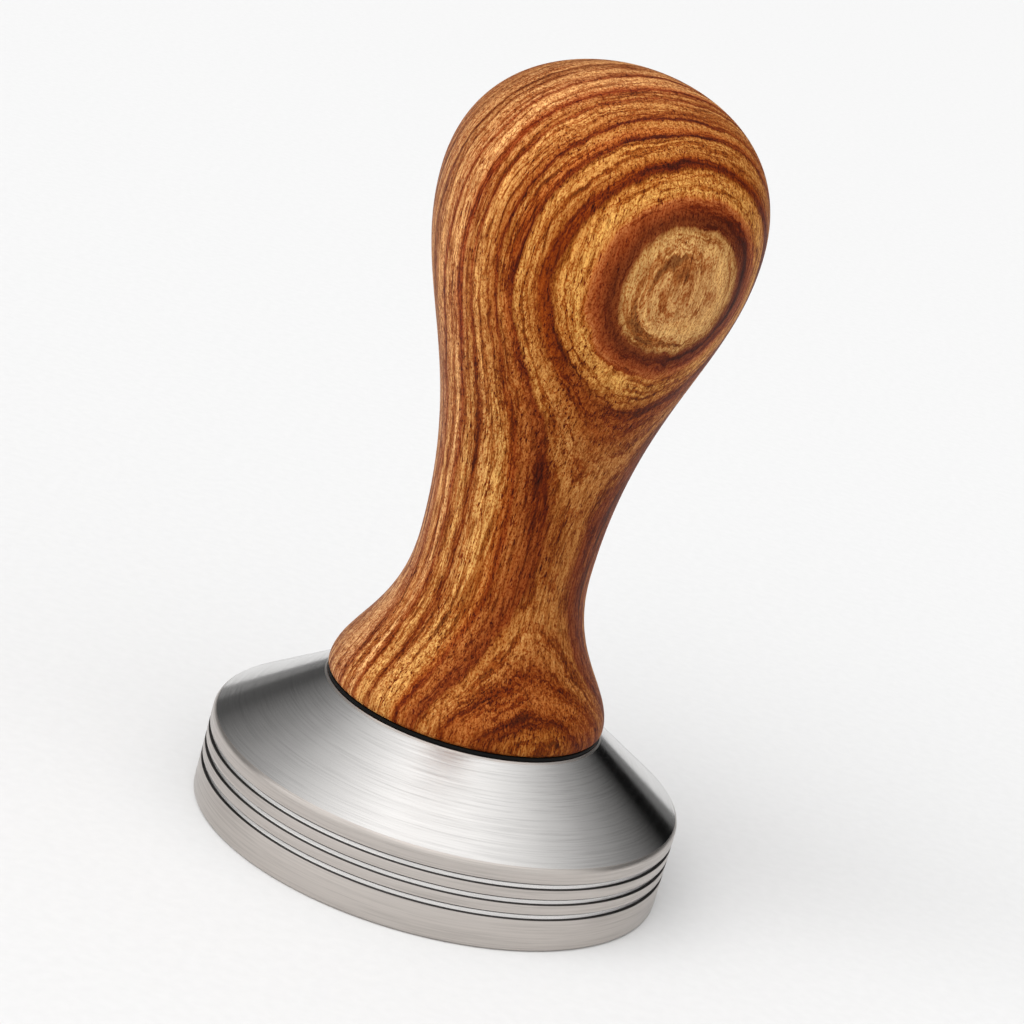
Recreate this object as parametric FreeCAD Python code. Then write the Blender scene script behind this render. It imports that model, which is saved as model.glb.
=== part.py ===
"""Espresso tamper: a solid turned steel base with a hardwood handle screwed on to it.

Units are millimetres. +Z runs up the tamper's axis and the origin is the centre of the flat tamping face.
The handle, its brass insert and the rubber washer come off the stud by unscrewing, with a right-hand thread.
"""

import FreeCAD, Part
import math
import os

from FreeCAD import Vector

# Steel base
BASE_RADIUS = 29.0            # fits a 58 mm filter basket
FACE_CHAMFER = 0.3            # breaks the edge of the tamping face
GROOVE_START = 4.15           # height of the lowest groove
GROOVE_WIDTH = 0.68
GROOVE_DEPTH = 0.4
GROOVE_PITCH = 1.95
GROOVE_COUNT = 3
RIM_TOP = 10.43               # height at which the rim and the cone would meet in a sharp edge
RIM_ROUND = 0.8               # rounding on that edge
SEAT_RADIUS = 17.15           # flat on top of the cone, under the handle
SEAT_HEIGHT = 18.4
SEAT_CHAMFER = 0.2

# Stud: an M8 set screw locked into the base
THREAD_RADIUS = 4.0           # M8 over the crests
STUD_PROJECTION = 12.0        # above the seat
STUD_DEPTH = 10.0             # below the seat
STUD_CHAMFER = 0.8
HOLE_BOTTOM_GAP = 1.0         # drilled depth left under the stud
DRILL_ANGLE = 118.0           # point of the drilled hole
HEX_ACROSS_FLATS = 4.0        # socket in the stud's top
HEX_DEPTH = 4.5

# Rubber washer between the seat and the handle
WASHER_THICKNESS = 0.45
WASHER_RADIUS = 16.85
WASHER_HOLE_RADIUS = 4.4

# Brass insert in the handle
INSERT_LENGTH = 16.0
INSERT_RADIUS = 6.0
INSERT_FLANGE_RADIUS = 7.5
INSERT_FLANGE_THICKNESS = 1.2
INSERT_BORE_RADIUS = 4.08     # runs on the stud with 0.08 mm clearance
INSERT_CHAMFER = 0.6

# Hardwood handle
HANDLE_BOTTOM = SEAT_HEIGHT + WASHER_THICKNESS
FOOT_ROUND = 0.7              # rounding under the handle's foot
FOOT_RADIUS = 17.05
FOOT_SWEEP = 4.2              # how far the outline leaves the foot before it turns in
NECK_RADIUS = 10.47
NECK_HEIGHT = 37.8            # where the handle is slimmest
NECK_SWEEP_DOWN = 10.4
NECK_SWEEP_UP = 21.8
KNOB_RADIUS = 19.23
KNOB_HEIGHT = 80.3            # where the knob is widest
KNOB_SWEEP_DOWN = 13.3
KNOB_SWEEP_UP = 13.0
CROWN_HEIGHT = 97.5           # top of the tamper
CROWN_SWEEP = 8.0             # how flat the crown is
STUD_ROOM = 3.0               # hollow above the insert, which the stud's tip never fills


def polygon_wire(points):
    """A closed wire of straight edges through (radius, height) points in the XZ plane."""
    corners = [Vector(radius, 0, height) for radius, height in points]
    return Part.makePolygon(corners + corners[:1])


def turned(wire):
    """The solid that a closed half profile makes when it is turned about the Z axis."""
    solid = Part.Face(wire).revolve(Vector(0, 0, 0), Vector(0, 0, 1), 360)
    return solid if solid.Volume > 0 else solid.reversed()


def turned_polygon(points):
    return turned(polygon_wire(points))


def line(start, end):
    return Part.LineSegment(Vector(start[0], 0, start[1]), Vector(end[0], 0, end[1])).toShape()


def rounded_rim():
    """Start, middle and end of the arc that blends the straight rim into the cone, as (radius, height)."""
    slope = math.atan2(SEAT_HEIGHT - RIM_TOP, BASE_RADIUS - SEAT_RADIUS)
    turn = math.pi / 2 - slope
    start_height = RIM_TOP - RIM_ROUND * math.tan(turn / 2)
    angles = (0, turn / 2, turn)
    return [
        (BASE_RADIUS - RIM_ROUND + RIM_ROUND * math.cos(angle), start_height + RIM_ROUND * math.sin(angle))
        for angle in angles
    ]


def base_blank():
    """The outside of the base: rim, rounded shoulder and cone, with no grooves and no hole."""
    rim_start, rim_middle, rim_end = rounded_rim()
    arc = Part.Arc(*(Vector(radius, 0, height) for radius, height in (rim_start, rim_middle, rim_end)))
    seat_edge = (SEAT_RADIUS, SEAT_HEIGHT - SEAT_CHAMFER)
    seat = (SEAT_RADIUS - SEAT_CHAMFER, SEAT_HEIGHT)
    face_edge = (BASE_RADIUS - FACE_CHAMFER, 0)
    edges = [
        line((0, 0), face_edge),
        line(face_edge, (BASE_RADIUS, FACE_CHAMFER)),
        line((BASE_RADIUS, FACE_CHAMFER), rim_start),
        arc.toShape(),
        line(rim_end, seat_edge),
        line(seat_edge, seat),
        line(seat, (0, SEAT_HEIGHT)),
        line((0, SEAT_HEIGHT), (0, 0)),
    ]
    return turned(Part.Wire(edges))


def groove_ring(bottom):
    """The ring of metal that one groove takes away."""
    inner = BASE_RADIUS - GROOVE_DEPTH
    outer = BASE_RADIUS + 1
    top = bottom + GROOVE_WIDTH
    return turned_polygon([(inner, bottom), (outer, bottom), (outer, top), (inner, top)])


def tapped_hole():
    """The blind hole for the stud, with its drilled point."""
    flat_bottom = SEAT_HEIGHT - STUD_DEPTH - HOLE_BOTTOM_GAP
    point = flat_bottom - THREAD_RADIUS / math.tan(math.radians(DRILL_ANGLE / 2))
    above = SEAT_HEIGHT + 1
    return turned_polygon([(0, point), (THREAD_RADIUS, flat_bottom), (THREAD_RADIUS, above), (0, above)])


def steel_base():
    base = base_blank().cut(tapped_hole())
    for number in range(GROOVE_COUNT):
        base = base.cut(groove_ring(GROOVE_START + number * GROOVE_PITCH))
    return base


def base_stud():
    """Threaded stud at its crest diameter, with a hex socket in the top to drive it."""
    bottom = SEAT_HEIGHT - STUD_DEPTH
    top = SEAT_HEIGHT + STUD_PROJECTION
    core = THREAD_RADIUS - STUD_CHAMFER
    stud = turned_polygon([
        (0, bottom),
        (core, bottom),
        (THREAD_RADIUS, bottom + STUD_CHAMFER),
        (THREAD_RADIUS, top - STUD_CHAMFER),
        (core, top),
        (0, top),
    ])
    corner_radius = HEX_ACROSS_FLATS / math.sqrt(3)
    corners = [
        Vector(
            corner_radius * math.cos(math.radians(60 * side)),
            corner_radius * math.sin(math.radians(60 * side)),
            top - HEX_DEPTH,
        )
        for side in range(6)
    ]
    socket = Part.Face(Part.makePolygon(corners + corners[:1])).extrude(Vector(0, 0, HEX_DEPTH + 1))
    return stud.cut(socket)


def rubber_washer():
    top = SEAT_HEIGHT + WASHER_THICKNESS
    return turned_polygon([
        (WASHER_HOLE_RADIUS, SEAT_HEIGHT),
        (WASHER_RADIUS, SEAT_HEIGHT),
        (WASHER_RADIUS, top),
        (WASHER_HOLE_RADIUS, top),
    ])


def handle_insert():
    """Flanged brass insert, flush with the handle's foot, with its bore open at both ends."""
    flange_top = HANDLE_BOTTOM + INSERT_FLANGE_THICKNESS
    top = HANDLE_BOTTOM + INSERT_LENGTH
    mouth = INSERT_BORE_RADIUS + INSERT_CHAMFER
    return turned_polygon([
        (mouth, HANDLE_BOTTOM),
        (INSERT_FLANGE_RADIUS, HANDLE_BOTTOM),
        (INSERT_FLANGE_RADIUS, flange_top),
        (INSERT_RADIUS, flange_top),
        (INSERT_RADIUS, top - INSERT_CHAMFER),
        (INSERT_RADIUS - INSERT_CHAMFER, top),
        (INSERT_BORE_RADIUS, top),
        (INSERT_BORE_RADIUS, HANDLE_BOTTOM + INSERT_CHAMFER),
    ])


def sweep(start, start_pull, end_pull, end):
    """A smooth edge that leaves start along start_pull and arrives at end against end_pull."""
    poles = [
        start,
        (start[0] + start_pull[0], start[1] + start_pull[1]),
        (end[0] - end_pull[0], end[1] - end_pull[1]),
        end,
    ]
    curve = Part.BezierCurve()
    curve.setPoles([Vector(radius, 0, height) for radius, height in poles])
    return curve.toShape()


def handle_outline():
    """Edges of the turned outside: the foot sweeps into the neck, the neck into the knob, the knob over the crown."""
    foot = (FOOT_RADIUS, HANDLE_BOTTOM + FOOT_ROUND)
    neck = (NECK_RADIUS, NECK_HEIGHT)
    knob = (KNOB_RADIUS, KNOB_HEIGHT)
    crown = (0, CROWN_HEIGHT)
    return [
        sweep(foot, (0, FOOT_SWEEP), (0, NECK_SWEEP_DOWN), neck),
        sweep(neck, (0, NECK_SWEEP_UP), (0, KNOB_SWEEP_DOWN), knob),
        sweep(knob, (0, KNOB_SWEEP_UP), (-CROWN_SWEEP, 0), crown),
    ]


def handle_blank():
    round_centre = FOOT_RADIUS - FOOT_ROUND
    foot_start = (round_centre, HANDLE_BOTTOM)
    corner = math.sqrt(0.5) * FOOT_ROUND
    foot = Part.Arc(
        Vector(round_centre, 0, HANDLE_BOTTOM),
        Vector(round_centre + corner, 0, HANDLE_BOTTOM + FOOT_ROUND - corner),
        Vector(FOOT_RADIUS, 0, HANDLE_BOTTOM + FOOT_ROUND),
    )
    edges = [line((0, HANDLE_BOTTOM), foot_start), foot.toShape()]
    edges += handle_outline()
    edges += [line((0, CROWN_HEIGHT), (0, HANDLE_BOTTOM))]
    return turned(Part.Wire(edges))


def handle_bore():
    """The stepped hole that takes the insert, its flange and the stud's tip."""
    below = HANDLE_BOTTOM - 1
    flange_top = HANDLE_BOTTOM + INSERT_FLANGE_THICKNESS
    top = HANDLE_BOTTOM + INSERT_LENGTH + STUD_ROOM
    return turned_polygon([
        (0, below),
        (INSERT_FLANGE_RADIUS, below),
        (INSERT_FLANGE_RADIUS, flange_top),
        (INSERT_RADIUS, flange_top),
        (INSERT_RADIUS, top),
        (0, top),
    ])


def wood_handle():
    return handle_blank().cut(handle_bore())


PIECES = {
    "steel_base": steel_base,
    "base_stud": base_stud,
    "rubber_washer": rubber_washer,
    "handle_insert": handle_insert,
    "wood_handle": wood_handle,
}


def main():
    os.makedirs("parts", exist_ok=True)
    for name, make in PIECES.items():
        shape = make()
        shape.exportStep(f"parts/{name}.step")
        box = shape.BoundBox
        print(f"{name}: valid {shape.isValid()}, solids {len(shape.Solids)}, volume {shape.Volume:.1f} mm3, "
              f"height {box.ZMin:.2f} to {box.ZMax:.2f}")


main()
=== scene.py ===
import math

import bmesh
import bpy
from mathutils import Matrix, Vector


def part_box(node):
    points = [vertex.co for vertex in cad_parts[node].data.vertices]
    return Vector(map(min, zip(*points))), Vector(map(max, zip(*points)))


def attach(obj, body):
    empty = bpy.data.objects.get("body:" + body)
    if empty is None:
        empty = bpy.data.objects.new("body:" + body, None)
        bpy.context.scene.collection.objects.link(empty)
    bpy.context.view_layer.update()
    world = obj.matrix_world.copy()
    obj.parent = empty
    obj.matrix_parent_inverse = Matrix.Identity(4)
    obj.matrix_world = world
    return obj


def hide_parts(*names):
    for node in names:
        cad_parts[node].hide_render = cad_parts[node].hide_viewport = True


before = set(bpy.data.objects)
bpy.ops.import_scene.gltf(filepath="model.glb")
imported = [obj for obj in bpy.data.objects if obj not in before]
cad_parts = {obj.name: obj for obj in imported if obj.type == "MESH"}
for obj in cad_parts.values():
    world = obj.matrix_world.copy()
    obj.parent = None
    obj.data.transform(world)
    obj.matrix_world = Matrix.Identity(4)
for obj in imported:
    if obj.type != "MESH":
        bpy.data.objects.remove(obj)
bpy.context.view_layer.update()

mm = 0.001


def edgeOf(node, top):
    # height of a CAD node's top or underside in mm
    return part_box(node)[1 if top else 0].z / mm


def linear(hexColour):
    # sRGB hex to the linear colour that shaders take
    channels = [int(hexColour[i:i + 2], 16) / 255 for i in (1, 3, 5)]
    return [c / 12.92 if c <= 0.04045 else ((c + 0.055) / 1.055) ** 2.4 for c in channels] + [1.0]


def add(tree, kind, settings={}, links={}):
    # one node; settings go to attributes or sockets, links take a node, a socket or a number
    node = tree.nodes.new("ShaderNode" + kind)
    for key, value in settings.items():
        if key == "stops":
            elements = node.color_ramp.elements
            elements.remove(elements[1])
            for number, (position, colour) in enumerate(value):
                element = elements[0] if number == 0 else elements.new(position)
                element.position = position
                element.color = linear(colour) if isinstance(colour, str) else [colour] * 3 + [1.0]
        elif key == "points":
            points = node.mapping.curves[0].points
            for number, (across, up) in enumerate(value):
                point = points[number] if number < 2 else points.new(across, up)
                point.location = (across, up)
            node.mapping.update()
        elif isinstance(key, str) and hasattr(node, key):
            setattr(node, key, value)
        else:
            node.inputs[key].default_value = value
    for key, source in links.items():
        if isinstance(source, float):
            node.inputs[key].default_value = source
        else:
            socket = source if hasattr(source, "is_output") else source.outputs[0]
            tree.links.new(socket, node.inputs[key])
    return node


def newMaterial(name):
    material = bpy.data.materials.new(name)
    material.use_nodes = True
    tree = material.node_tree
    tree.nodes.clear()
    shader = add(tree, "BsdfPrincipled")
    add(tree, "OutputMaterial", {}, {"Surface": shader})
    return material, tree, shader


# straight-grained tropical wood cut across a few flat growth layers; sizes in mm, up the handle last
wood = {
    "turn": -54,   # degrees from +X to the side where the eye of the figure lies
    "bow": [(18, 2.1), (24, 2.1), (30, 1.6), (37, 1.35), (61, 2.2), (70, 1.9), (80, 2.8), (90, 4.75),
            (98, 6.5)],   # height, how far the layers lean out there
    "bowHeight": 100, "bowReach": 8,   # what 1 stands for along and up the bow curve
    "openFrom": 76, "openTo": 56, "openBy": 0.87,   # the layers grow thicker between these heights
    "waves": [((11, 11, 30), 1.8), ((2.6, 2.6, 9), 0.8), ((0.5, 0.5, 1.8), 0.4)],   # cell, how far it shifts
    "eyeFrom": 13.1, "eyeTo": 13.3,   # layers where the knob's pale eye takes over
    "footFrom": 74, "footTo": 64, "footCell": (3, 3, 12), "footRagged": 14,
    "line": (1.5, 0.08, 0.045), "lineShare": 0.85,   # thin lines, so many per mm in, across and up
    "fibre": (0.32, 0.32, 4.5), "streak": (0.5, 0.5, 9),
    "pore": (0.18, 0.18, 1.2), "poreCrowd": (3, 3, 9), "speck": (0.16, 0.16, 0.3),   # pores twice real width
    "relief": 0.06, "sheen": 0.08, "smooth": 0.48, "rough": 0.62,
    # (layer in mm, colour); light early wood, red-brown late wood
    "knob": [(-15, "#8c5c34"), (-11.2, "#9a6c42"), (-10.7, "#7c5230"), (-10.1, "#a2744a"),
             (-8.2, "#aa7a4c"), (-7.5, "#6e4022"), (-7.0, "#96683e"), (-6.2, "#8e5e38"),
             (-5.6, "#ac7c4c"), (-4.0, "#ac784a"), (-3.4, "#6a2c12"), (-2.9, "#b07c4a"),
             (-1.5, "#c08e58"), (-0.9, "#9c6034"), (-0.1, "#6c2c12"), (0.4, "#9c6636"),
             (1.2, "#94602e"), (1.7, "#6c3014"), (2.2, "#b07c42"), (3.0, "#a8743a"),
             (4.7, "#885022"), (5.2, "#642a0e"), (5.7, "#9c6830"), (6.7, "#8c4e20"),
             (7.4, "#5a240c"), (7.9, "#a87434"), (9.4, "#94602a"), (10.1, "#6c320e"),
             (10.9, "#54220a"), (11.4, "#a06a2c"), (12.6, "#b07e38"), (13.4, "#8e4c1c")],
    "eye": [(13.2, "#8e522a"), (13.7, "#6e361a"), (14.6, "#48200e"), (15.0, "#5a2e16"),
            (15.3, "#98703e"), (16.0, "#ac824c"), (17.0, "#9c6e3e")],
    "foot": [(-15, "#96704c"), (-9.0, "#8e6440"), (-7.0, "#a07650"), (-5.2, "#a87c54"),
             (-4.0, "#9c6c48"), (-3.1, "#7c4828"), (-2.5, "#b68652"), (-2.0, "#a06c3c"),
             (-1.6, "#84502a"), (-1.2, "#c09260"), (-0.8, "#ae7c4c"), (-0.4, "#6e3418"),
             (0.1, "#966434"), (0.8, "#ac7e44"), (1.5, "#8e5e30"), (1.9, "#6c3616"),
             (2.4, "#9c6c3a"), (3.4, "#ae8044"), (4.6, "#a07238"), (5.2, "#8e5424"),
             (5.5, "#5e260e"), (5.9, "#824e24"), (6.8, "#6c3a1a"), (7.5, "#5e2c12"),
             (7.8, "#845426"), (8.6, "#946230"), (9.6, "#6c3816"), (10.6, "#824c22"),
             (12.0, "#5c2c10"), (13.5, "#946028")],
}


def woodMaterial():
    # oiled figured hardwood: warm layered bands, open pores, a soft sheen
    material, tree, shader = newMaterial("oiledFiguredHardwood")
    coordinates = add(tree, "TexCoord")
    turn = (0, 0, math.radians(-wood["turn"]))
    place = add(tree, "Mapping", {"Rotation": turn, "Scale": [1 / mm] * 3},
                {"Vector": coordinates.outputs["Object"]})
    depth, across, height = add(tree, "SeparateXYZ", {}, {0: place}).outputs

    def flecks(cell, detail=2.0, roughness=0.5):
        # a pattern of soft spots as large as the cell
        scaled = add(tree, "Mapping", {"Scale": [1 / size for size in cell]}, {"Vector": place})
        return add(tree, "TexNoise", {"Scale": 1.0, "Detail": detail, "Roughness": roughness},
                   {"Vector": scaled})

    # the layers bow along the handle and open out towards the foot
    points = [(up / wood["bowHeight"], lean / wood["bowReach"]) for up, lean in wood["bow"]]
    share = add(tree, "Math", {"operation": "DIVIDE", 1: wood["bowHeight"]}, {0: height})
    bow = add(tree, "FloatCurve", {"points": points}, {"Value": share})
    layer = add(tree, "Math", {"operation": "MULTIPLY_ADD", 1: -wood["bowReach"]}, {0: bow, 2: depth})
    opened = add(tree, "MapRange", {"interpolation_type": "SMOOTHSTEP", "From Min": wood["openFrom"],
                                    "From Max": wood["openTo"], "To Min": 1.0, "To Max": wood["openBy"]},
                 {"Value": height})
    layer = add(tree, "Math", {"operation": "MULTIPLY"}, {0: layer, 1: opened})
    for cell, reach in wood["waves"]:
        wave = add(tree, "Math", {"operation": "SUBTRACT", 1: 0.5}, {0: flecks(cell)})
        layer = add(tree, "Math", {"operation": "MULTIPLY_ADD", 1: reach}, {0: wave, 2: layer})

    def bands(stops):
        # the layer's colour, read off a ramp that reaches 1 mm past the outer stops
        first, last = stops[0][0] - 1, stops[-1][0] + 1
        fac = add(tree, "MapRange", {"From Min": first, "From Max": last}, {"Value": layer})
        stops = [((at - first) / (last - first), colour) for at, colour in stops]
        return add(tree, "ValToRGB", {"stops": stops}, {0: fac})

    inEye = add(tree, "MapRange", {"From Min": wood["eyeFrom"], "From Max": wood["eyeTo"]}, {"Value": layer})
    knob = add(tree, "Mix", {"data_type": "RGBA"},
               {0: inEye, 6: bands(wood["knob"]), 7: bands(wood["eye"])})
    ragged = add(tree, "Math", {"operation": "MULTIPLY_ADD", 1: wood["footRagged"]},
                 {0: flecks(wood["footCell"]), 2: height})
    lower = add(tree, "MapRange", {"From Min": wood["footFrom"], "From Max": wood["footTo"]},
                {"Value": ragged})
    colour = add(tree, "Mix", {"data_type": "RGBA"},
                 {0: lower, 6: knob.outputs[2], 7: bands(wood["foot"])})

    def darken(colour, pattern, stops, share=1.0):
        # multiply by a ramp over a pattern
        shade = add(tree, "ValToRGB", {"stops": stops}, {0: pattern})
        mixed = add(tree, "Mix", {"data_type": "RGBA", "blend_type": "MULTIPLY"},
                    {0: share, 6: colour.outputs[2], 7: shade})
        return mixed, shade

    # thin late-wood lines that come and go along the handle
    sheet = add(tree, "CombineXYZ", {}, {
        axis: add(tree, "Math", {"operation": "MULTIPLY", 1: wood["line"][axis]}, {0: source})
        for axis, source in enumerate((layer, across, height))})
    lines = add(tree, "TexNoise", {"Scale": 1.0, "Detail": 4.0, "Roughness": 0.8}, {"Vector": sheet})
    shades = [(0.36, "#683a22"), (0.44, "#b48460"), (0.52, "#ffffff"), (0.64, "#fff8e8")]
    colour, _ = darken(colour, lines, shades, wood["lineShare"])

    # fibres and longer streaks run up the handle, weaker in the eye
    fibre = flecks(wood["fibre"], 4.0, 0.7)
    share = add(tree, "Math", {"operation": "MULTIPLY_ADD", 1: -0.35, 2: 0.9}, {0: inEye})
    shades = [(0.34, "#8a6c54"), (0.46, "#d8ccc2"), (0.56, "#ffffff"), (0.68, "#fffaf0")]
    colour, _ = darken(colour, fibre, shades, share)
    streak = flecks(wood["streak"], 2.0, 0.6)
    share = add(tree, "Math", {"operation": "MULTIPLY_ADD", 1: -0.2, 2: 0.6}, {0: inEye})
    colour, _ = darken(colour, streak, [(0.36, "#b48e6c"), (0.48, "#f0e6dc"), (0.6, "#ffffff")], share)

    # open pores, short dark dashes gathered in some layers and few in the eye
    crowd = flecks(wood["poreCrowd"], 1.0)
    crowd = add(tree, "Math", {"operation": "MULTIPLY_ADD", 1: 0.3}, {0: inEye, 2: crowd})
    pore = flecks(wood["pore"], 1.0)
    pore = add(tree, "Math", {"operation": "MULTIPLY_ADD", 1: -0.25}, {0: crowd, 2: pore})
    colour, poreShade = darken(colour, pore, [(0.50, "#ffffff"), (0.58, "#8a5034")])
    speck = flecks(wood["speck"], 1.0)
    colour, _ = darken(colour, speck, [(0.34, "#c09678"), (0.48, "#f4ece8"), (0.62, "#ffffff")])

    # pale early wood is yellower and a little duller than the late wood
    pale = add(tree, "MapRange", {"From Min": 0.02, "From Max": 0.13}, {"Value": colour.outputs[2]})
    tuned = {"Color": colour.outputs[2]}
    for socket, dark, change in (("Hue", 0.5, 0.009), ("Saturation", 1.03, -0.08), ("Value", 2.14, -0.3)):
        tuned[socket] = add(tree, "Math", {"operation": "MULTIPLY_ADD", 1: change, 2: dark}, {0: pale})
    colour = add(tree, "HueSaturation", {}, tuned)

    tree.links.new(colour.outputs[0], shader.inputs["Base Color"])
    rough = add(tree, "MapRange", {"From Min": 0.35, "From Max": 0.65, "To Min": wood["rough"],
                                   "To Max": wood["smooth"]}, {"Value": fibre})
    tree.links.new(rough.outputs[0], shader.inputs["Roughness"])
    shader.inputs["Specular IOR Level"].default_value = wood["sheen"]
    relief = add(tree, "Math", {"operation": "MULTIPLY_ADD", 1: 0.6}, {0: poreShade, 2: fibre})
    relief = add(tree, "Math", {"operation": "MULTIPLY_ADD", 1: 0.5}, {0: speck, 2: relief})
    bump = add(tree, "Bump", {"Strength": 0.5, "Distance": wood["relief"] * mm}, {"Height": relief})
    tree.links.new(bump.outputs[0], shader.inputs["Normal"])
    return material


toolMarks = {
    "wander": 2.5,   # how much the rings change on their way round
    "relief": 0.02, "bump": 0.2,   # height in mm, and how much of it shows
    "stretch": 0.7, "quarterTurn": 0.25,   # reflections stretch across the rings
}


def turnedMetal(name, colour, roughness, ringPitch):
    # rings of fine tool marks, ringPitch mm apart, that stretch each reflection outwards
    material, tree, shader = newMaterial(name)
    coordinates = add(tree, "TexCoord")
    x, y, z = add(tree, "SeparateXYZ", {}, {0: coordinates.outputs["Object"]}).outputs
    flat = add(tree, "CombineXYZ", {}, {0: x, 1: y})
    outward = add(tree, "VectorMath", {"operation": "NORMALIZE"}, {0: flat})
    radius = add(tree, "VectorMath", {"operation": "LENGTH"}, {0: flat}).outputs["Value"]
    run = add(tree, "Math", {"operation": "SUBTRACT"}, {0: radius, 1: z})
    run = add(tree, "Math", {"operation": "MULTIPLY", 1: 1 / (ringPitch * mm)}, {0: run})
    around = add(tree, "VectorMath", {"operation": "SCALE", "Scale": toolMarks["wander"]}, {0: outward})
    along = add(tree, "CombineXYZ", {}, {2: run})
    rings = add(tree, "VectorMath", {"operation": "ADD"}, {0: along, 1: around})
    grain = add(tree, "TexNoise", {"Scale": 1.0, "Detail": 3.0, "Roughness": 0.65}, {"Vector": rings})
    tone = add(tree, "ValToRGB", {"stops": [(0.3, 0.80), (0.5, 0.94), (0.7, 1.0)]}, {0: grain})
    tint = add(tree, "Mix", {"data_type": "RGBA", "blend_type": "MULTIPLY", 0: 1.0, 6: linear(colour)},
               {7: tone})
    tree.links.new(tint.outputs[2], shader.inputs["Base Color"])
    shader.inputs["Metallic"].default_value = 1.0
    rough = add(tree, "MapRange", {"From Min": 0.3, "From Max": 0.7, "To Min": roughness * 1.2,
                                   "To Max": roughness * 0.8}, {"Value": grain})
    tree.links.new(rough.outputs[0], shader.inputs["Roughness"])
    shader.inputs["Anisotropic"].default_value = toolMarks["stretch"]
    shader.inputs["Anisotropic Rotation"].default_value = toolMarks["quarterTurn"]
    tangent = add(tree, "VectorMath", {"operation": "CROSS_PRODUCT", 0: (0, 0, 1)}, {1: outward})
    tree.links.new(tangent.outputs[0], shader.inputs["Tangent"])
    bump = add(tree, "Bump", {"Strength": toolMarks["bump"], "Distance": toolMarks["relief"] * mm},
               {"Height": grain})
    tree.links.new(bump.outputs[0], shader.inputs["Normal"])
    return material


def dullMaterial(name, colour, roughness, cell, dark):
    # a little mottling and a fine moulded or painted grain, cell mm across
    material, tree, shader = newMaterial(name)
    coordinates = add(tree, "TexCoord").outputs["Object"]
    place = add(tree, "Mapping", {"Scale": [1 / (cell * mm)] * 3}, {"Vector": coordinates})
    grain = add(tree, "TexNoise", {"Scale": 1.0, "Detail": 3.0}, {"Vector": place})
    tone = add(tree, "ValToRGB", {"stops": [(0.3, dark), (0.7, 1.0)]}, {0: grain})
    tint = add(tree, "Mix", {"data_type": "RGBA", "blend_type": "MULTIPLY", 0: 1.0, 6: linear(colour)},
               {7: tone})
    tree.links.new(tint.outputs[2], shader.inputs["Base Color"])
    shader.inputs["Specular IOR Level"].default_value = 0.15
    rough = add(tree, "MapRange", {"To Min": roughness - 0.1, "To Max": roughness + 0.1}, {"Value": grain})
    tree.links.new(rough.outputs[0], shader.inputs["Roughness"])
    bump = add(tree, "Bump", {"Strength": 0.3, "Distance": 0.02 * mm}, {"Height": grain})
    tree.links.new(bump.outputs[0], shader.inputs["Normal"])
    return material


oiledWood = woodMaterial()
# fine-turned stainless: broad bright and dark fans across the cone; the rings are coarser than real ones
coneSteel = turnedMetal("turnedStainlessSteel", "#c6c4c2", 0.14, 0.3)
# satin stainless: an even warm grey with soft edges
rimSteel = turnedMetal("satinStainlessSteel", "#c7c0ba", 0.36, 0.2)
# groove walls, lips and roof fillets get a darker steel, painted shade, so a fine dark line runs each side of
# a groove
paintedShadeSteel = turnedMetal("paintedShadeGrooveSteel", "#565250", 0.4, 0.2)
# groove floors get a near-white steel, a painted highlight for the bright band reflected there
paintedHighlightSteel = turnedMetal("paintedHighlightGrooveSteel", "#f2f0ee", 0.3, 0.1)
# turned brass: warm yellow, seen only from below when the handle is off
brass = turnedMetal("turnedBrass", "#d4ac62", 0.24, 0.25)
# rolled thread steel: greyer and duller than the base
studSteel = turnedMetal("rolledStainlessSteel", "#b0ada9", 0.3, 0.15)
# moulded nitrile rubber: near black, no shine
rubber = dullMaterial("blackNitrileRubber", "#080808", 0.7, 0.4, 0.75)
# matt wall paint with a faint roller grain
paint = dullMaterial("palePaint", "#dedede", 0.85, 1.5, 0.97)
print("materials made")


def profile(corners):
    # an open outline of (radius, height) pairs in mm, joined in order
    bm = bmesh.new()
    verts = [bm.verts.new((radius * mm, 0, height * mm)) for radius, height in corners]
    for first, second in zip(verts, verts[1:]):
        bm.edges.new((first, second))
    return bm, verts


def soften(bm, verts, offset, segments):
    bmesh.ops.bevel(bm, geom=verts, offset=offset * mm, offset_type="OFFSET", segments=segments,
                    profile=0.5, affect="VERTICES", material=-1)


def turned(bm, steps):
    # full turn about Z, then the axis points become single ones
    bmesh.ops.spin(bm, geom=bm.verts[:] + bm.edges[:], cent=(0, 0, 0), axis=(0, 0, 1), angle=math.tau,
                   steps=steps, use_merge=True)
    bmesh.ops.remove_doubles(bm, verts=bm.verts[:], dist=0.0005 * mm)
    bmesh.ops.recalc_face_normals(bm, faces=bm.faces[:])


def finishPiece(name, bm, materials, body, node, sharp=28):
    # sharp is the angle in degrees past which an edge stays crisp
    mesh = bpy.data.meshes.new(name)
    bm.to_mesh(mesh)
    bm.free()
    mesh.shade_smooth()
    mesh.set_sharp_from_angle(angle=math.radians(sharp))
    for material in materials:
        mesh.materials.append(material)
    piece = bpy.data.objects.new(name, mesh)
    bpy.context.scene.collection.objects.link(piece)
    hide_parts(node)
    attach(piece, body)
    print(name, "made with", len(mesh.polygons), "faces")


seat = edgeOf("steel_base", True)
foot = edgeOf("wood_handle", False)
crown = edgeOf("wood_handle", True)

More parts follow.
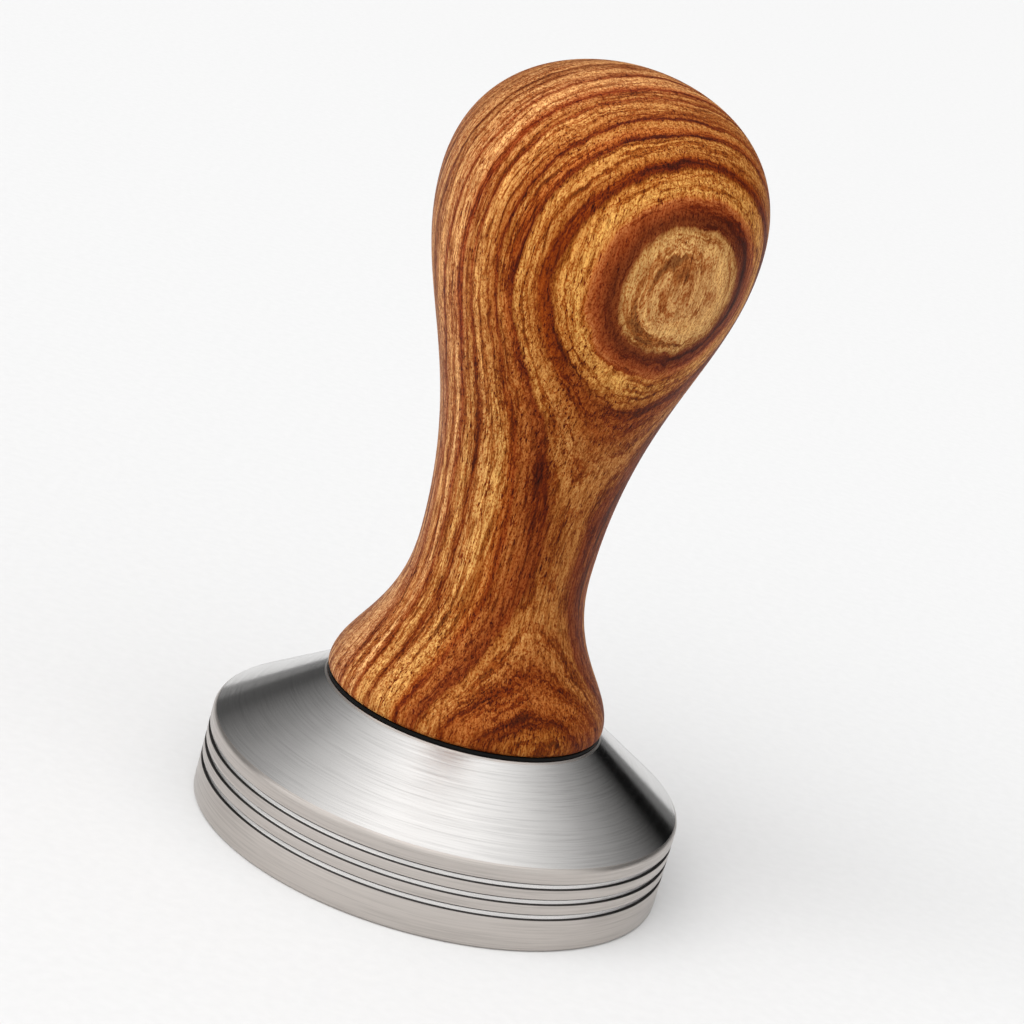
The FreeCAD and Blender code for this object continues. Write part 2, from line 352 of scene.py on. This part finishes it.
base = {
    "radius": 28.99, "faceChamfer": 0.3,   # a hair inside the CAD's facets
    "grooves": 3, "grooveStart": 4.15, "grooveWidth": 0.68, "groovePitch": 1.95, "grooveDepth": 0.4,
    # the roof fillet also carries the darker groove-wall steel, so its dark line is partly painted shade
    "grooveEdge": 0.06, "grooveRoof": 0.3,   # the roof's inner corner is filleted, which gives its dark line
    "rimTop": 10.43, "rimRound": 0.8, "seatRadius": 17.15, "seatChamfer": 0.2,
    "mouthRadius": 4.4, "mouthDepth": 0.4, "boreRadius": 4.02, "boreFloor": 7.4, "drillTip": 5.0,
    "turns": 256,
}
groove = base["radius"] - base["grooveDepth"]
corners = [(0, 0), (base["radius"] - base["faceChamfer"], 0), (base["radius"], base["faceChamfer"])]
for number in range(base["grooves"]):
    under = base["grooveStart"] + number * base["groovePitch"]
    over = under + base["grooveWidth"]
    corners += [(base["radius"], under), (groove, under), (groove, over), (base["radius"], over)]
rim = len(corners)
corners += [(base["radius"], base["rimTop"]), (base["seatRadius"], seat - base["seatChamfer"]),
            (base["seatRadius"] - base["seatChamfer"], seat), (base["mouthRadius"], seat),
            (base["boreRadius"], seat - base["mouthDepth"]), (base["boreRadius"], base["boreFloor"]),
            (0, base["drillTip"])]
bm, verts = profile(corners)
slope = math.atan2(seat - base["rimTop"], base["radius"] - base["seatRadius"])
soften(bm, [verts[rim]], base["rimRound"] * math.tan((math.pi / 2 - slope) / 2), 10)
roofs = verts[5:rim:4]   # inner upper corner of each groove
soften(bm, roofs, base["grooveRoof"], 5)
crisp = [vert for vert in verts[1:rim] + verts[rim + 1:rim + 3] if vert.is_valid and vert not in roofs]
soften(bm, crisp, base["grooveEdge"], 2)
turned(bm, base["turns"])
hair = 0.01   # mm
lowest, highest = base["grooveStart"] - 0.1, over + 0.1   # of the grooves, with their edges
# cone faces take the turned steel; groove walls, lips and fillets a darker steel that paints shade; groove
# floors a brighter steel that paints a highlight; the rest satin steel
for face in bm.faces:
    middle = face.calc_center_median()
    reach, height = middle.xy.length / mm, middle.z / mm
    if face.normal.z > math.cos(slope) - 0.01 and height > base["rimTop"]:
        face.material_index = 0
    elif lowest < height < highest and groove - hair < reach < base["radius"] - hair:
        face.material_index = 3 if reach < groove + hair else 2
    else:
        face.material_index = 1
finishes = [coneSteel, rimSteel, paintedShadeSteel, paintedHighlightSteel]
finishPiece("steelBase", bm, finishes, "base", "steel_base")

washer = {"radius": 16.85, "hole": 4.4, "round": 0.12, "turns": 192}
under, over = edgeOf("rubber_washer", False), edgeOf("rubber_washer", True)
bm, verts = profile([(washer["hole"], under), (washer["radius"], under), (washer["radius"], over),
                     (washer["hole"], over)])
bm.edges.new((verts[-1], verts[0]))
soften(bm, verts[1:3], washer["round"], 3)
turned(bm, washer["turns"])
finishPiece("rubberWasher", bm, [rubber], "washer", "rubber_washer")

threads = {"pitch": 1.25, "turns": 48, "foot": 1.2, "crest": 0.2, "sink": 0.1}   # foot and crest are widths


def thread(bm, root, crest, low, high):
    # a ridge that climbs one pitch per turn, capped at both ends
    half, flat = threads["foot"] / 2, threads["crest"] / 2
    ring = [bm.verts.new((radius * mm, 0, (low + height) * mm)) for radius, height in
            ((root, 0), (crest, half - flat), (crest, half + flat), (root, 2 * half))]
    edges = [bm.edges.new((ring[number - 1], ring[number])) for number in range(4)]
    steps = int((high - low - threads["foot"]) / threads["pitch"] * threads["turns"])
    climb = threads["pitch"] / threads["turns"] * mm
    bmesh.ops.spin(bm, geom=ring + edges, cent=(0, 0, 0), axis=(0, 0, 1), steps=steps,
                   angle=math.tau * steps / threads["turns"], dvec=(0, 0, climb))
    bmesh.ops.holes_fill(bm, edges=[edge for edge in bm.edges if edge.is_boundary], sides=4)
    bmesh.ops.recalc_face_normals(bm, faces=bm.faces[:])


stud = {"core": 3.25, "crest": 3.97, "chamfer": 0.4, "runOut": 0.4, "socket": 4.0, "socketDepth": 4.5}
under, over = edgeOf("base_stud", False), edgeOf("base_stud", True)
tip = stud["core"] - stud["chamfer"]
bm, verts = profile([(0, under), (tip, under), (stud["core"], under + stud["chamfer"]),
                     (stud["core"], over - stud["chamfer"]), (tip, over)])
turned(bm, threads["turns"])
mouth = [edge for edge in bm.edges if edge.is_boundary]
hexagon = bmesh.ops.create_circle(bm, segments=threads["turns"], radius=1.0)["verts"]
for vert in hexagon:
    # pull the circle out to the flats of the key socket
    bearing = math.atan2(vert.co.y, vert.co.x) % (math.pi / 3) - math.pi / 6
    reach = stud["socket"] / 2 / math.cos(bearing) * mm
    vert.co = vert.co.normalized() * reach + Vector((0, 0, over * mm))
lip = [edge for edge in bm.edges if edge.verts[0] in hexagon and edge.verts[1] in hexagon]
bmesh.ops.bridge_loops(bm, edges=mouth + lip)
well = bmesh.ops.extrude_edge_only(bm, edges=lip)["geom"]
sunk = [item for item in well if isinstance(item, bmesh.types.BMVert)]
bmesh.ops.translate(bm, verts=sunk, vec=(0, 0, -stud["socketDepth"] * mm))
bmesh.ops.holes_fill(bm, edges=[edge for edge in bm.edges if edge.is_boundary], sides=0)
thread(bm, stud["core"] - threads["sink"], stud["crest"], under + stud["runOut"], over - stud["runOut"])
finishPiece("threadedStud", bm, [studSteel], "base", "base_stud")

insert = {
    "flange": 7.5, "flangeHeight": 1.2, "body": 6.0, "bore": 4.08, "mouth": 0.6, "minor": 3.42,
    "edge": 0.15, "turns": 96,
}
studThread = under + stud["runOut"]
under, over = edgeOf("handle_insert", False), edgeOf("handle_insert", True)
step = under + insert["flangeHeight"]
bm, verts = profile([(insert["bore"] + insert["mouth"], under), (insert["flange"], under),
                     (insert["flange"], step), (insert["body"], step), (insert["body"], over),
                     (insert["bore"], over), (insert["bore"], under + insert["mouth"])])
bm.edges.new((verts[-1], verts[0]))
soften(bm, [verts[2], verts[4]], insert["edge"], 2)
turned(bm, insert["turns"])
# half a pitch off the stud's own ridge, so that the two never touch as the handle turns
lag = math.ceil((under + insert["mouth"] - studThread) / threads["pitch"] - 0.5) + 0.5
thread(bm, insert["bore"] + threads["sink"], insert["minor"], studThread + lag * threads["pitch"], over)
finishPiece("brassInsert", bm, [brass], "handle", "handle_insert")

handle = {
    "footRound": 0.7, "footRadius": 17.05, "footPull": 4.2,
    "neckRadius": 10.47, "neckHeight": 37.8, "neckPullDown": 10.4, "neckPullUp": 21.8,
    "knobRadius": 19.23, "knobHeight": 80.3, "knobPullDown": 13.3, "knobPullUp": 13.0, "crownPull": 8.0,
    "boreWide": 7.5, "boreStep": 1.2, "bore": 6.0, "boreDepth": 19.0, "smooth": 40, "turns": 192,
}
stations = [   # (radius, height), pull below, pull above, in mm
    (handle["footRadius"], foot + handle["footRound"], (0, -0.1), (0, handle["footPull"])),
    (handle["neckRadius"], handle["neckHeight"], (0, -handle["neckPullDown"]), (0, handle["neckPullUp"])),
    (handle["knobRadius"], handle["knobHeight"], (0, -handle["knobPullDown"]), (0, handle["knobPullUp"])),
    (0, crown, (handle["crownPull"], 0), (-0.1, 0)),
]
outline = bpy.data.curves.new("handleOutline", "CURVE")
outline.dimensions = "3D"
outline.resolution_u = handle["smooth"]
spline = outline.splines.new("BEZIER")
spline.bezier_points.add(len(stations) - 1)
for point, (radius, height, below, above) in zip(spline.bezier_points, stations):
    point.handle_left_type = point.handle_right_type = "FREE"
    point.co = (radius * mm, 0, height * mm)
    point.handle_left = ((radius + below[0]) * mm, 0, (height + below[1]) * mm)
    point.handle_right = ((radius + above[0]) * mm, 0, (height + above[1]) * mm)
holder = bpy.data.objects.new("handleOutline", outline)
sweep = bpy.data.meshes.new_from_object(holder)
boreEnd, boreStep = foot + handle["boreDepth"], foot + handle["boreStep"]
bm, verts = profile([(0, boreEnd), (handle["bore"], boreEnd), (handle["bore"], boreStep),
                     (handle["boreWide"], boreStep), (handle["boreWide"], foot), (handle["footRadius"], foot),
                     (handle["footRadius"], foot + handle["footRound"])])
soften(bm, [verts[5]], handle["footRound"] * 0.999, 8)
bm.from_mesh(sweep)
bmesh.ops.remove_doubles(bm, verts=bm.verts[:], dist=0.002 * mm)
turned(bm, handle["turns"])
finishPiece("woodHandle", bm, [oiledWood], "handle", "wood_handle")
bpy.data.objects.remove(holder)
bpy.data.meshes.remove(sweep)
bpy.data.curves.remove(outline)

# what the steel mirrors: bright overhead and in front, dark low down behind; the camera sees a pale wall
sky = {
    # (how high, how bright), from the horizon at 0 to straight up at 1
    "behind": [(0.0, 0.10), (0.11, 0.10), (0.135, 0.04), (0.15, 0.001), (0.28, 0.002), (0.375, 0.05),
               (0.56, 0.16), (0.71, 0.29), (0.84, 0.48), (0.93, 0.66), (0.985, 0.82)],
    "front": [(0.0, 0.50), (0.60, 0.55), (0.93, 0.70), (0.985, 0.82)],
    "power": 2.6, "side": 0.7, "leftGain": 1.15, "rightGain": 0.9,
    "leftLift": 0.2, "liftLow": 0.17, "liftHigh": 0.75, "seam": 0.12, "wall": "#f4f4f4",
}
world = bpy.data.worlds.new("softStudio")
bpy.context.scene.world = world
world.use_nodes = True
tree = world.node_tree
tree.nodes.clear()
right, back, up = add(tree, "SeparateXYZ", {}, {0: add(tree, "TexCoord").outputs["Generated"]}).outputs
behind = add(tree, "ValToRGB", {"stops": sky["behind"]}, {0: up})
lift = add(tree, "MapRange", {"interpolation_type": "SMOOTHSTEP", "From Min": 0.0, "From Max": -sky["side"],
                              "To Min": 0.0, "To Max": sky["leftLift"] / sky["power"]}, {"Value": right})
low = add(tree, "MapRange", {"From Min": sky["liftLow"], "From Max": sky["liftHigh"], "To Min": 1.0,
                             "To Max": 0.0}, {"Value": up})
behind = add(tree, "Math", {"operation": "MULTIPLY_ADD"}, {0: lift, 1: low, 2: behind})
front = add(tree, "ValToRGB", {"stops": sky["front"]}, {0: up})
gain = add(tree, "MapRange", {"From Min": -sky["side"], "From Max": sky["side"], "To Min": sky["leftGain"],
                              "To Max": sky["rightGain"]}, {"Value": right})
front = add(tree, "Math", {"operation": "MULTIPLY"}, {0: front, 1: gain})
ahead = add(tree, "MapRange", {"interpolation_type": "SMOOTHSTEP", "From Min": sky["seam"],
                               "From Max": -sky["seam"]}, {"Value": back})
tent = add(tree, "Mix", {}, {0: ahead, 2: behind, 3: front})
bright = add(tree, "Math", {"operation": "MULTIPLY", 1: sky["power"]}, {0: tent})
mirrored = add(tree, "Background", {}, {"Strength": bright})
wall = add(tree, "Background", {"Color": linear(sky["wall"])})
rays = add(tree, "LightPath")
mixed = add(tree, "MixShader", {}, {0: rays.outputs["Is Camera Ray"], 1: mirrored, 2: wall})
add(tree, "OutputWorld", {}, {0: mixed})

key = {"from": (-0.6, -0.7, 0.75), "power": 1.6, "spread": 60}   # spread in degrees, for soft shadows
lamp = bpy.data.lights.new("keyLight", "SUN")
lamp.energy = key["power"]
lamp.angle = math.radians(key["spread"])
keyLight = bpy.data.objects.new("keyLight", lamp)
bpy.context.scene.collection.objects.link(keyLight)
keyLight.visible_glossy = False   # no sun disc in the steel
keyLight.rotation_euler = Vector(key["from"]).to_track_quat("Z", "Y").to_euler()

ground = {"half": 6}   # m from the middle to an edge
bm = bmesh.new()
bmesh.ops.create_grid(bm, x_segments=1, y_segments=1, size=ground["half"])
floorMesh = bpy.data.meshes.new("floor")
bm.to_mesh(floorMesh)
bm.free()
floorMesh.materials.append(paint)
floor = bpy.data.objects.new("floor", floorMesh)
bpy.context.scene.collection.objects.link(floor)

camera = {"place": (-0.59, -372.69, 157.83), "clip": 10, "lens": 116.02, "lookDown": 17.159, "roll": 15.838}
lens = bpy.data.cameras.new("camera")
lens.lens = camera["lens"]
lens.clip_start = camera["clip"] * mm
viewer = bpy.data.objects.new("camera", lens)
bpy.context.scene.collection.objects.link(viewer)
tilt = Matrix.Rotation(math.radians(90 - camera["lookDown"]), 4, "X")
roll = Matrix.Rotation(math.radians(camera["roll"]), 4, "Z")
viewer.matrix_world = Matrix.Translation(Vector(camera["place"]) * mm) @ tilt @ roll
bpy.context.scene.camera = viewer
bpy.context.scene.view_settings.view_transform = "Standard"
print("lights, floor and camera placed")
